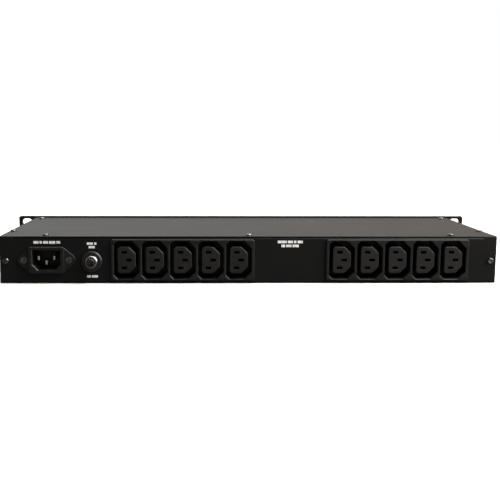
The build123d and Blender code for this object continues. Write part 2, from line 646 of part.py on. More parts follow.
with BuildPart() as breaker_terminals:
    for z in BREAKER_TERMINAL_Z:
        low = (BREAKER_X - TAB_WIDTH / 2, BRIDGE_Y + 0.1, z - TAB_THICKNESS / 2)
        block(low, (BREAKER_X + TAB_WIDTH / 2, BREAKER_TAB_END_Y, z + TAB_THICKNESS / 2))
write(breaker_terminals, "breaker_terminals")

with BuildPart() as breaker_back:
    inner_x = BREAKER_HALF[0] - BREAKER_WALL - 0.1
    inner_z = BREAKER_HALF[1] - BREAKER_WALL - 0.1
    with BuildSketch(rear_plane(BREAKER_END_Y)):
        with Locations((BREAKER_X, BREAKER_Z)):
            Rectangle(2 * inner_x, 2 * inner_z)
        with Locations(*[(BREAKER_X, z) for z in BREAKER_TERMINAL_Z]):
            Rectangle(TAB_WIDTH + 0.1, TAB_THICKNESS + 0.1, mode=Mode.SUBTRACT)
    extrude(amount=1.6)
write(breaker_back, "breaker_back")

# ---------------------------------------------------------------- power switch

SWITCH_BEZEL = 2.0
SWITCH_FACE_Y = PANEL_FACE_Y + SWITCH_BEZEL
SWITCH_END_Y = 58.0
SWITCH_OPENING = (20.0, 27.4)
PIVOT_Y = FRONT_Y
TRUNNION_RADIUS = 1.5
ROCKER_RADIUS = 13.4
ROCKER_HALF_WIDTH = 9.8
FULCRUM_Y = 66.2
BRIDGE_THICKNESS = 0.8
BRIDGE_HALF_LENGTH = 8.0
SWITCH_TAB_END_Y = 46.0
SWITCH_TERMINAL_Z = (SWITCH_Z, SWITCH_Z - BRIDGE_HALF_LENGTH)
SWITCH_POLES = (SWITCH_X - POLE_X, SWITCH_X + POLE_X)


def tilted_plane(x, y, degrees):
    """Plane through (x, y, SWITCH_Z) with its normal along X, turned about X by the angle."""
    turned = Plane.YZ.rotated((degrees, 0, 0))
    return Plane(origin=(x, y, SWITCH_Z), x_dir=turned.x_dir, z_dir=turned.z_dir)


with BuildPart() as switch_housing:
    with BuildSketch(rear_plane(PANEL_FACE_Y)):
        with Locations((SWITCH_X, SWITCH_Z)):
            RectangleRounded(25.4, 32.6, 1.0)
    extrude(amount=-SWITCH_BEZEL)
    fillet(switch_housing.faces().sort_by(Axis.Y)[-1].edges(), 0.8)
    with BuildSketch(rear_plane(PANEL_FACE_Y)):
        with Locations((SWITCH_X, SWITCH_Z)):
            Rectangle(21.6, 29.6)
    extrude(amount=PANEL_FACE_Y - SWITCH_END_Y)
    with BuildSketch(rear_plane(SWITCH_FACE_Y)):
        with Locations((SWITCH_X, SWITCH_Z)):
            Rectangle(*SWITCH_OPENING)
    extrude(amount=SWITCH_FACE_Y - SWITCH_END_Y - 2.0, mode=Mode.SUBTRACT)
    with Locations((SWITCH_X, PIVOT_Y, SWITCH_Z)):
        Cylinder(TRUNNION_RADIUS + 0.05, 24.0, rotation=(0, 90, 0), mode=Mode.SUBTRACT)
    with BuildSketch(rear_plane(SWITCH_END_Y)):
        with Locations(*[(x, z) for x in SWITCH_POLES for z in SWITCH_TERMINAL_Z]):
            Rectangle(TAB_WIDTH, TAB_THICKNESS)
    extrude(amount=-2.0, mode=Mode.SUBTRACT)
write(switch_housing, "switch_housing")

with BuildPart() as switch_rocker:
    with BuildSketch(tilted_plane(SWITCH_X, PIVOT_Y, -SWITCH_TILT)):
        # Outward is local X: a shallow V for the finger, ends rounded about the pivot
        Circle(ROCKER_RADIUS)
        with BuildLine():
            Polyline((-2.5, -15.0), (6.1, -15.0), (3.7, 0.0), (6.1, 15.0), (-2.5, 15.0), close=True)
        make_face(mode=Mode.INTERSECT)
    extrude(amount=ROCKER_HALF_WIDTH, both=True)
    fillet(switch_rocker.edges().filter_by(Axis.X).group_by(Axis.Y)[-1], 0.5)
    with Locations((SWITCH_X, PIVOT_Y, SWITCH_Z)):
        Cylinder(TRUNNION_RADIUS, 21.4, rotation=(0, 90, 0))
    # Posts that guide the two plungers
    tilt = tilted_plane(SWITCH_X, PIVOT_Y, -SWITCH_TILT)
    post_base = Plane(origin=(SWITCH_X, PIVOT_Y, SWITCH_Z), x_dir=(1, 0, 0), z_dir=-tilt.x_dir)
    with BuildSketch(post_base.offset(2.0)):
        with GridLocations(2 * POLE_X, 0, 2, 1):
            Circle(2.6)
    extrude(amount=6.0)
    with BuildSketch(post_base.offset(8.0)):
        with GridLocations(2 * POLE_X, 0, 2, 1):
            Circle(1.65)
    extrude(amount=-4.0, mode=Mode.SUBTRACT)
write(switch_rocker, "switch_rocker")

with BuildPart() as switch_plungers:
    with BuildSketch(post_base.offset(4.5)):
        with GridLocations(2 * POLE_X, 0, 2, 1):
            Circle(1.5)
    extrude(amount=7.9)
    fillet(switch_plungers.faces().filter_by(Axis.Y, tolerance=20).group_by(Axis.Y)[0].edges(), 0.6)
write(switch_plungers, "switch_plungers")

with BuildPart() as switch_bridges:
    for pole in SWITCH_POLES:
        with BuildSketch(tilted_plane(pole, FULCRUM_Y, SWITCH_TILT * BRIDGE_RATIO)):
            Rectangle(BRIDGE_THICKNESS, 2 * BRIDGE_HALF_LENGTH)
        extrude(amount=2.0, both=True)
write(switch_bridges, "switch_bridges")

with BuildPart() as switch_terminals:
    for pole in SWITCH_POLES:
        for z, contact_y in zip(SWITCH_TERMINAL_Z, (FULCRUM_Y - 0.6, FULCRUM_Y - 1.8)):
            low = (pole - TAB_WIDTH / 2, SWITCH_TAB_END_Y, z - TAB_THICKNESS / 2)
            block(low, (pole + TAB_WIDTH / 2, contact_y, z + TAB_THICKNESS / 2))
write(switch_terminals, "switch_terminals")

# ---------------------------------------------------------------- pilot lamp

with BuildPart() as lamp_lens:
    with Locations(*facing(FRONT, (LAMP_X, PANEL_FACE_Y, SWITCH_Z))):
        Cylinder(4.8, 1.2, align=(Align.CENTER, Align.CENTER, Align.MIN))
        Cylinder(3.6, 3.6, align=(Align.CENTER, Align.CENTER, Align.MIN))
    fillet(lamp_lens.faces().sort_by(Axis.Y)[-1].edges(), 2.2)
write(lamp_lens, "lamp_lens")

with BuildPart() as lamp_body:
    with Locations(*facing(REAR, (LAMP_X, PANEL_FACE_Y, SWITCH_Z))):
        Cylinder(4.0, 17.0, align=(Align.CENTER, Align.CENTER, Align.MIN))
write(lamp_body, "lamp_body")
write(group(hex_nut(11.0, 2.5, 4.1), facing(REAR, (LAMP_X, FRONT_Y, SWITCH_Z))), "lamp_nut")

# ---------------------------------------------------------------- surge suppression board

BOARD_X = (-105.0, -15.0)
BOARD_Y = (8.0, 63.0)
BOARD_Z = 8.0
BOARD_TOP = BOARD_Z + 1.6
BOARD_INSET = 4.5
BOARD_HOLE_X = (BOARD_X[0] + BOARD_INSET, BOARD_X[1] - BOARD_INSET)
BOARD_HOLE_Y = (BOARD_Y[0] + BOARD_INSET, BOARD_Y[1] - BOARD_INSET)
BOARD_HOLES = [(x, y) for x in BOARD_HOLE_X for y in BOARD_HOLE_Y]
BLOCK_X = [-76.5 + 6.6 * n for n in range(6)]
BLOCK_Y = (9.0, 19.0)
ENTRY_Z = 14.0
LAMP_SOCKET_Y = (50.4, 47.6)

with BuildPart() as surge_board:
    block((BOARD_X[0], BOARD_Y[0], BOARD_Z), (BOARD_X[1], BOARD_Y[1], BOARD_TOP))
    with Locations(*facing(UP, *[(x, y, BOARD_TOP) for x, y in BOARD_HOLES])):
        Hole(SCREW_HOLE, depth=1.6)
write(surge_board, "surge_board")

with BuildPart() as standoff:
    with BuildSketch():
        RegularPolygon(3.0, 6, major_radius=False)
        Circle(TAPPED_HOLE, mode=Mode.SUBTRACT)
    extrude(amount=BOARD_Z - SHEET)
write(group(standoff, facing(UP, *[(x, y, SHEET) for x, y in BOARD_HOLES])), "board_standoffs")
board_screw = pan_screw(2.8, 1.8, 6.0)
write(group(board_screw, facing(UP, *[(x, y, BOARD_TOP) for x, y in BOARD_HOLES])), "board_screws")

with BuildPart() as terminal_block:
    block((BLOCK_X[0] - 3.6, BLOCK_Y[0], BOARD_TOP), (BLOCK_X[-1] + 3.6, BLOCK_Y[1], 21.0))
    with Locations(*facing(UP, *[(x, sum(BLOCK_Y) / 2, 21.0) for x in BLOCK_X])):
        Hole(2.2, depth=2.0)
write(terminal_block, "terminal_block")

with BuildPart() as filter_capacitor:
    block((-100.0, 30.0, BOARD_TOP), (-74.0, 40.0, BOARD_TOP + 18.0))
    fillet(filter_capacitor.edges().filter_by(Axis.Z), 0.8)
write(filter_capacitor, "filter_capacitor")

with BuildPart() as varistors:
    for x in (-64.0, -54.0, -44.0):
        with Locations((x, 36.0, BOARD_TOP + 9.5)):
            Cylinder(7.0, 4.5, rotation=(0, 90, 0))
        with Locations((x, 32.5, BOARD_TOP + 2.5), (x, 39.5, BOARD_TOP + 2.5)):
            Cylinder(0.4, 5.0)
write(varistors, "varistors")

with BuildPart() as filter_choke:
    with Locations((-28.0, 38.0, BOARD_TOP + 4.0)):
        Torus(8.0, 4.0)
write(filter_choke, "filter_choke")

with BuildPart() as lamp_socket:
    block((BOARD_X[0] + 1, 45.0, BOARD_TOP), (BOARD_X[0] + 7, 53.0, BOARD_TOP + 7.0))
write(lamp_socket, "lamp_socket")

# ---------------------------------------------------------------- earth stud and its lugs

STUD_HEAD = 0.6
LUG_THICKNESS = 0.8
LUG_SPACING = 0.85
LUG_LENGTH = 12.0
BARREL_LENGTH = 6.0
LUG_HEADINGS = {"inlet": (-1, 0), "left": (1, 0), "right": (0, -1)}

with BuildPart() as earth_stud:
    with Locations((STUD_X, STUD_Y, SHEET)):
        Cylinder(2.0, 12.0, align=(Align.CENTER, Align.CENTER, Align.MIN))
        Cylinder(4.5, STUD_HEAD, align=(Align.CENTER, Align.CENTER, Align.MIN))
write(earth_stud, "earth_stud")

# Ring tongues on the stud, one above the other, with crimped barrels that point out
with BuildPart() as earth_lugs:
    for n, (dx, dy) in enumerate(LUG_HEADINGS.values()):
        low_z = SHEET + STUD_HEAD + LUG_SPACING * n
        with Locations((STUD_X, STUD_Y, low_z)):
            Cylinder(4.2, LUG_THICKNESS, align=(Align.CENTER, Align.CENTER, Align.MIN))
        near = (STUD_X + dx * 3.0 - abs(dy) * 1.5, STUD_Y + dy * 3.0 - abs(dx) * 1.5)
        far = (STUD_X + dx * 7.0 + abs(dy) * 1.5, STUD_Y + dy * 7.0 + abs(dx) * 1.5)
        neck_low = (min(near[0], far[0]), min(near[1], far[1]), low_z)
        neck_high = (max(near[0], far[0]), max(near[1], far[1]), low_z + LUG_THICKNESS)
        block(neck_low, neck_high)
        middle = LUG_LENGTH - BARREL_LENGTH / 2
        turn = (0, 90, 0) if dx else (90, 0, 0)
        with Locations((STUD_X + dx * middle, STUD_Y + dy * middle, LUG_Z)):
            Cylinder(2.6, BARREL_LENGTH, rotation=turn)
    with Locations((STUD_X, STUD_Y, SHEET)):
        Cylinder(2.1, 6.0, align=(Align.CENTER, Align.CENTER, Align.MIN), mode=Mode.SUBTRACT)
write(earth_lugs, "earth_lugs")

earth_nut = hex_nut(7.0, 3.2, 2.1)
LUG_TOP = SHEET + STUD_HEAD + 2 * LUG_SPACING + LUG_THICKNESS
write(group(earth_nut, facing(UP, (STUD_X, STUD_Y, LUG_TOP))), "earth_nut")

# ---------------------------------------------------------------- push-on sleeves and wires


def sleeve(wide_axis):
    """Insulated push-on receptacle: its mouth on the plane Z = 0, its wire end at +Z."""
    outer = (8.4, 4.2)
    inner = (TAB_WIDTH + 0.3, TAB_THICKNESS + 0.2)
    if wide_axis == "Z":
        outer = outer[::-1]
        inner = inner[::-1]
    with BuildPart() as receptacle:
        with BuildSketch():
            RectangleRounded(*outer, 1.0)
        extrude(amount=SLEEVE_LENGTH)
        with BuildSketch():
            Rectangle(*inner)
        extrude(amount=11.0, mode=Mode.SUBTRACT)
    return receptacle


SLEEVE_GAP = 1.0
INLET_WIRE_Y = INLET_END_Y + SLEEVE_GAP + SLEEVE_LENGTH
BREAKER_WIRE_Y = BREAKER_END_Y + SLEEVE_GAP + SLEEVE_LENGTH
STRIP_WIRE_Y = STRIP_END_Y + SLEEVE_GAP + SLEEVE_LENGTH
SWITCH_WIRE_Y = SWITCH_END_Y - SLEEVE_GAP - SLEEVE_LENGTH

inlet_sleeve_y = INLET_END_Y + SLEEVE_GAP
upright_tabs = [(x, inlet_sleeve_y, INLET_Z + PIN_OFFSET_Z) for x in power_pin_x]
upright_tabs.append((INLET_X, inlet_sleeve_y, INLET_Z - PIN_OFFSET_Z))
level_tabs = [(BREAKER_X, BREAKER_END_Y + SLEEVE_GAP, z) for z in BREAKER_TERMINAL_Z]
for strip_x in STRIP_X.values():
    for pole in CONTACTS:
        tab_x, tab_z = strip_tab(strip_x, pole)
        level_tabs.append((tab_x, STRIP_END_Y + SLEEVE_GAP, tab_z))
switch_tabs = [(x, SWITCH_END_Y - SLEEVE_GAP, z) for x in SWITCH_POLES for z in SWITCH_TERMINAL_Z]

with BuildPart() as tab_sleeves:
    with Locations(*facing(FRONT, *upright_tabs)):
        add(sleeve("Z").part)
    with Locations(*facing(FRONT, *level_tabs)):
        add(sleeve("X").part)
    with Locations(*facing(REAR, *switch_tabs)):
        add(sleeve("X").part)
write(tab_sleeves, "tab_sleeves")


def wires(routes, radius, bend_radius):
    """Insulated wires along the routes, each a separate solid."""
    with BuildPart() as harness:
        for route in routes:
            with BuildLine() as path:
                FilletPolyline(*route, radius=bend_radius)
            with BuildSketch(Plane(origin=path.line @ 0, z_dir=path.line % 0)):
                Circle(radius)
            sweep(path=path.line)
    return harness


line_in = (INLET_X + POWER_PIN_X, INLET_Z + PIN_OFFSET_Z)
neutral_in = (INLET_X - POWER_PIN_X, INLET_Z + PIN_OFFSET_Z)
breaker_out_z, breaker_in_z = BREAKER_TERMINAL_Z
neutral_pole, line_pole = SWITCH_POLES
common_z, switched_z = SWITCH_TERMINAL_Z
left_tab = {pole: strip_tab(STRIP_X["left"], pole) for pole in CONTACTS}
right_tab = {pole: strip_tab(STRIP_X["right"], pole) for pole in CONTACTS}


def to_strip(tab, y):
    """A wire's last run: along Y into a strip's sleeve, from the given Y."""
    return [(tab[0], y, tab[1]), (tab[0], STRIP_WIRE_Y, tab[1])]


def from_block(entry, y, z):
    """A wire's first runs: straight out of an entry of the terminal block, then to y and z."""
    x = BLOCK_X[entry]
    return [(x, BLOCK_Y[0], ENTRY_Z), (x, 5.0, ENTRY_Z), (x, y, z)]


line_routes = [
    [
        (line_in[0], INLET_WIRE_Y, line_in[1]),
        (line_in[0], -6.0, line_in[1]),
        (BREAKER_X, -6.0, breaker_in_z),
        (BREAKER_X, BREAKER_WIRE_Y, breaker_in_z),
    ],
    [
        (BREAKER_X, BREAKER_WIRE_Y, breaker_out_z),
        (BREAKER_X, 12.0, breaker_out_z),
        (line_pole, 14.0, common_z),
        (line_pole, SWITCH_WIRE_Y, common_z),
    ],
    [
        (line_pole, SWITCH_WIRE_Y, switched_z),
        (line_pole, 35.0, switched_z),
        (line_pole, 22.0, 6.0),
        (-135.0, 22.0, 5.0),
        (-120.0, -8.0, 5.0),
        (BLOCK_X[0], -8.0, ENTRY_Z),
        (BLOCK_X[0], BLOCK_Y[0], ENTRY_Z),
    ],
    from_block(2, -17.0, 20.0) + to_strip(left_tab["line"], -17.0),
    from_block(4, -12.0, 18.0) + to_strip(right_tab["line"], -12.0),
]
write(wires(line_routes, WIRE_RADIUS, 6.0), "line_wires")

neutral_routes = [
    [
        (neutral_in[0], INLET_WIRE_Y, neutral_in[1]),
        (neutral_in[0], -12.0, neutral_in[1]),
        (neutral_pole, 12.0, common_z),
        (neutral_pole, SWITCH_WIRE_Y, common_z),
    ],
    [
        (neutral_pole, SWITCH_WIRE_Y, switched_z),
        (neutral_pole, 35.0, switched_z),
        (neutral_pole, 14.0, 4.0),
        (-142.0, 14.0, 4.0),
        (-126.0, -14.0, 4.0),
        (BLOCK_X[1], -14.0, ENTRY_Z),
        (BLOCK_X[1], BLOCK_Y[0], ENTRY_Z),
    ],
    from_block(3, -20.0, 11.0) + to_strip(left_tab["neutral"], -20.0),
    from_block(5, -6.0, 10.0) + to_strip(right_tab["neutral"], -6.0),
]
write(wires(neutral_routes, WIRE_RADIUS, 5.5), "neutral_wires")

earth_routes = [
    [
        (INLET_X, INLET_WIRE_Y, INLET_Z - PIN_OFFSET_Z),
        (INLET_X, -30.0, INLET_Z - PIN_OFFSET_Z),
        (-174.0, STUD_Y, LUG_Z),
        (STUD_X - LUG_LENGTH, STUD_Y, LUG_Z),
    ],
    [
        (STUD_X + LUG_LENGTH, STUD_Y, LUG_Z),
        (-128.0, STUD_Y, LUG_Z),
        (-120.0, -12.0, left_tab["earth"][1]),
        (left_tab["earth"][0], -12.0, left_tab["earth"][1]),
        (left_tab["earth"][0], STRIP_WIRE_Y, left_tab["earth"][1]),
    ],
    [
        (STUD_X, STUD_Y - LUG_LENGTH, LUG_Z),
        (STUD_X, -42.0, LUG_Z),
        (70.0, -42.0, LUG_Z),
        (98.0, -22.0, LUG_Z),
        (98.0, -8.0, right_tab["earth"][1]),
        (right_tab["earth"][0], -8.0, right_tab["earth"][1]),
        (right_tab["earth"][0], STRIP_WIRE_Y, right_tab["earth"][1]),
    ],
]
write(wires(earth_routes, WIRE_RADIUS, 4.0), "earth_wires")

lamp_routes = [
    [
        (LAMP_X + side * 1.4, PANEL_FACE_Y - 17.0, SWITCH_Z),
        (LAMP_X + side * 1.4, socket_y, SWITCH_Z),
        (-122.0, socket_y, ENTRY_Z),
        (BOARD_X[0] + 1, socket_y, ENTRY_Z),
    ]
    for side, socket_y in zip((1, -1), LAMP_SOCKET_Y)
]
write(wires(lamp_routes, LAMP_WIRE_RADIUS, 5.0), "lamp_wires")
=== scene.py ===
"""Looks for the rack power strip: finishes, printed marks, floor, light and camera."""

import json
import math

import bmesh
import bpy
from mathutils import Matrix, Vector


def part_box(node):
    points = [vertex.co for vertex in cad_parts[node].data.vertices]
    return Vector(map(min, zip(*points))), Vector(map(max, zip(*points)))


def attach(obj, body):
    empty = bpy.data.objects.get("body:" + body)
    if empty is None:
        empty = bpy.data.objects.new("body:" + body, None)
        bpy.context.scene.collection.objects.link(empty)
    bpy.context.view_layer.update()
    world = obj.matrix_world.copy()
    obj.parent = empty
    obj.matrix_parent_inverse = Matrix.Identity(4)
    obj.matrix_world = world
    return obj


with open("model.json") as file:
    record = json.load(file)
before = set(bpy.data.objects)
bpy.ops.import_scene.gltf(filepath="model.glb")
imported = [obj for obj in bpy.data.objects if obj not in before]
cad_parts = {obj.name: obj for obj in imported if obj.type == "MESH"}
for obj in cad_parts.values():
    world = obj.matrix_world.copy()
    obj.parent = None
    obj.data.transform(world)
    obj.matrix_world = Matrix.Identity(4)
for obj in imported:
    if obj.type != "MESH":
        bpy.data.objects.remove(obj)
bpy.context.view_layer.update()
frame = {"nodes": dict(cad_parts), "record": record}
nodes = frame["nodes"]
scene = bpy.context.scene

MM = 0.001


# ---------------------------------------------------------------- shader helpers
class Nodes:
    """A node tree, with short ways to add to it."""

    def __init__(self, tree):
        self.tree = tree

    def node(self, kind, **values):
        made = self.tree.nodes.new(kind)
        for key, value in values.items():
            setattr(made, key, value)
        return made

    def link(self, source, target):
        self.tree.links.new(source, target)

    def ramp(self, value, low, high, start=0.3, end=0.7):
        """value from start..end is mapped onto low..high."""
        ranged = self.node("ShaderNodeMapRange")
        ranged.inputs["From Min"].default_value = start
        ranged.inputs["From Max"].default_value = end
        ranged.inputs["To Min"].default_value = low
        ranged.inputs["To Max"].default_value = high
        self.link(value, ranged.inputs["Value"])
        return ranged.outputs["Result"]

    def share(self, value, start=0.3, end=0.7):
        """value from start..end is mapped onto 0..1."""
        return self.ramp(value, 0.0, 1.0, start, end)

    def mix(self, share, first, second):
        """Colour first where share is 0 and second where it is 1."""
        mixed = self.node("ShaderNodeMix", data_type="RGBA")
        self.link(share, mixed.inputs["Factor"])
        for socket, colour in (("A", first), ("B", second)):
            target = [i for i in mixed.inputs if i.name == socket and i.type == "RGBA"][0]
            if isinstance(colour, bpy.types.NodeSocket):
                self.link(colour, target)
            else:
                target.default_value = (*colour, 1.0)
        return [o for o in mixed.outputs if o.type == "RGBA"][0]

    def maths(self, operation, first, second):
        """The result of a Math node on two values."""
        made = self.node("ShaderNodeMath", operation=operation)
        self.link(first, made.inputs[0])
        self.link(second, made.inputs[1])
        return made.outputs[0]

    def split(self, vector):
        """The X, Y and Z outputs of a vector."""
        parts = self.node("ShaderNodeSeparateXYZ")
        self.link(vector, parts.inputs[0])
        return parts.outputs

    def camera_ray(self):
        """1 for what the camera sees directly, 0 for reflections and bounced light."""
        return self.node("ShaderNodeLightPath").outputs["Is Camera Ray"]


class Finish(Nodes):
    """One procedural material: a Principled shader plus the nodes that feed it."""

    def __init__(self, name, colour, roughness, metallic=0.0, specular=0.5):
        self.material = bpy.data.materials.new(name)
        self.material.use_nodes = True
        super().__init__(self.material.node_tree)
        self.shader = self.tree.nodes["Principled BSDF"]
        self.set("Base Color", (*colour, 1.0))
        self.set("Roughness", roughness)
        self.set("Metallic", metallic)
        self.set("Specular IOR Level", specular)
        self.coords = self.node("ShaderNodeTexCoord").outputs["Object"]

    def set(self, socket, value):
        self.shader.inputs[socket].default_value = value

    def out(self, socket, source):
        self.link(source, self.shader.inputs[socket])

    def noise(self, scale, detail=4.0, stretch=(1.0, 1.0, 1.0)):
        mapping = self.node("ShaderNodeMapping")
        mapping.inputs["Scale"].default_value = stretch
        self.link(self.coords, mapping.inputs["Vector"])
        noise = self.node("ShaderNodeTexNoise")
        noise.inputs["Scale"].default_value = scale
        noise.inputs["Detail"].default_value = detail
        noise.inputs["Roughness"].default_value = 0.55
        self.link(mapping.outputs["Vector"], noise.inputs["Vector"])
        return noise.outputs["Fac"]

    def bump(self, height, strength, distance, normal=None):
        bumped = self.node("ShaderNodeBump")
        bumped.inputs["Strength"].default_value = strength
        bumped.inputs["Distance"].default_value = distance
        self.link(height, bumped.inputs["Height"])
        if normal is not None:
            self.link(normal, bumped.inputs["Normal"])
        return bumped.outputs["Normal"]

    def rounded(self, radius):
        """The normal with sharp edges rounded off to radius."""
        bevel = self.node("ShaderNodeBevel", samples=4)
        bevel.inputs["Radius"].default_value = radius
        return bevel.outputs["Normal"]

    def edges(self, radius, gain):
        """A mask that rises to gain along sharp edges and is 0 on flat faces."""
        flat = self.node("ShaderNodeNewGeometry").outputs["Normal"]
        dot = self.node("ShaderNodeVectorMath", operation="DOT_PRODUCT")
        self.link(self.rounded(radius), dot.inputs[0])
        self.link(flat, dot.inputs[1])
        return self.ramp(dot.outputs["Value"], gain, 0.0, start=0.75, end=0.99)


# ---------------------------------------------------------------- finishes
# Lighter black for sharp edges: partly rubbed wear, partly painted edge highlight.
RUBBED_AND_HIGHLIGHT_BLACK = (0.05, 0.049, 0.047)


def powder_coat(name, colour, warm, roughness, specular):
    """Satin black powder coat: orange peel, uneven sheen, and a lighter colour along sharp edges that
    is partly wear and partly painted edge highlight.
    """
    f = Finish(name, colour, roughness, specular=specular)
    mottle = f.noise(scale=22.0, detail=5.0)
    grain = f.noise(scale=1900.0, detail=2.0)
    peel = f.noise(scale=620.0, detail=3.0)
    # Lighter colour in patches along sharp edges: partly wear, partly a painted highlight on the
    # edges.
    wear_and_highlight = f.edges(radius=0.7 * MM, gain=0.45)
    patches = f.share(f.noise(scale=90.0), start=0.42, end=0.62)
    base = f.mix(f.share(mottle), colour, warm)
    f.out("Base Color", f.mix(f.maths("MULTIPLY", wear_and_highlight, patches), base, RUBBED_AND_HIGHLIGHT_BLACK))
    sheen = f.ramp(mottle, roughness - 0.01, roughness + 0.015, start=0.35, end=0.65)
    f.out("Roughness", sheen)
    fine = f.bump(grain, strength=0.10, distance=0.06 * MM, normal=f.rounded(0.3 * MM))
    f.out("Normal", f.bump(peel, strength=0.12, distance=0.10 * MM, normal=fine))
    return f.material


def moulded(name, colour, light, roughness, specular):
    """Moulded plastic: eroded tool texture, soft edges, faint flow marks."""
    f = Finish(name, colour, roughness, specular=specular)
    flow = f.noise(scale=60.0, detail=3.0, stretch=(1.0, 1.0, 3.0))
    texture = f.noise(scale=2600.0, detail=2.0)
    f.out("Base Color", f.mix(f.share(flow), colour, light))
    f.out("Roughness", f.ramp(flow, roughness - 0.04, roughness + 0.05))
    soft = f.rounded(0.4 * MM)
    f.out("Normal", f.bump(texture, strength=0.12, distance=0.06 * MM, normal=soft))
    return f.material


def gloss(name, colour, roughness, specular=0.5):
    """Smooth plastic or lacquer with faint smears."""
    f = Finish(name, colour, roughness, specular=specular)
    smear = f.noise(scale=140.0)
    ripple = f.noise(scale=900.0, detail=2.0)
    f.out("Roughness", f.ramp(smear, roughness - 0.05, roughness + 0.08))
    soft = f.rounded(0.3 * MM)
    f.out("Normal", f.bump(ripple, strength=0.04, distance=0.05 * MM, normal=soft))
    return f.material


def metal(name, colour, dull, roughness, stretch=(1.0, 1.0, 1.0)):
    """Plated or bare metal with fine drawn lines and tarnish."""
    f = Finish(name, colour, roughness, metallic=1.0)
    lines = f.noise(scale=1500.0, detail=3.0, stretch=stretch)
    stain = f.noise(scale=260.0)
    f.out("Base Color", f.mix(f.share(stain, start=0.4, end=0.7), colour, dull))
    f.out("Roughness", f.ramp(lines, roughness - 0.06, roughness + 0.1))
    soft = f.rounded(0.15 * MM)
    f.out("Normal", f.bump(lines, strength=0.10, distance=0.04 * MM, normal=soft))
    return f.material


def lens(name):
    """Green lamp lens: clear coloured plastic over a prismatic inside."""
    f = Finish(name, (0.02, 0.42, 0.10), 0.12)
    f.set("Transmission Weight", 0.55)
    f.set("IOR", 1.49)
    rings = f.node("ShaderNodeTexWave", wave_type="RINGS", rings_direction="Y")
    rings.inputs["Scale"].default_value = 260.0
    f.link(f.coords, rings.inputs["Vector"])
    f.out("Roughness", f.ramp(f.noise(scale=400.0), 0.08, 0.2))
    f.out("Normal", f.bump(rings.outputs["Fac"], strength=0.15, distance=0.1 * MM))
    return f.material


def ink(name):
    """White screen print, slightly uneven."""
    f = Finish(name, (0.92, 0.92, 0.91), 0.5, specular=0.3)
    cover = f.share(f.noise(scale=1200.0))
    f.out("Base Color", f.mix(cover, (1.0, 1.0, 0.99), (0.90, 0.90, 0.89)))
    f.out("Roughness", f.ramp(f.noise(scale=700.0), 0.42, 0.6))
    return f.material


def insulation(name, colour, stripe=None):
    """PVC wire insulation. The earth wires have a second colour, in bands along Z."""
    f = Finish(name, colour, 0.38, specular=0.5)
    if stripe is not None:
        wave = f.node("ShaderNodeTexWave", wave_type="BANDS", bands_direction="Z")
        wave.inputs["Scale"].default_value = 90.0
        f.link(f.coords, wave.inputs["Vector"])
        bands = f.share(wave.outputs["Fac"], start=0.62, end=0.66)
        f.out("Base Color", f.mix(bands, colour, stripe))
    else:
        shade = [c * 0.7 for c in colour]
        f.out("Base Color", f.mix(f.share(f.noise(scale=180.0)), colour, shade))
    f.out("Roughness", f.ramp(f.noise(scale=300.0), 0.32, 0.48))
    return f.material


def board(name):
    """Green solder mask over copper tracks."""
    f = Finish(name, (0.01, 0.09, 0.035), 0.3)
    brick = f.node("ShaderNodeTexBrick")
    brick.inputs["Scale"].default_value = 140.0
    f.link(f.coords, brick.inputs["Vector"])
    tracks = f.share(brick.outputs["Fac"], start=0.1, end=0.9)
    f.out("Base Color", f.mix(tracks, (0.02, 0.16, 0.06), (0.008, 0.075, 0.03)))
    f.out("Roughness", f.ramp(f.noise(scale=200.0), 0.25, 0.4))
    return f.material


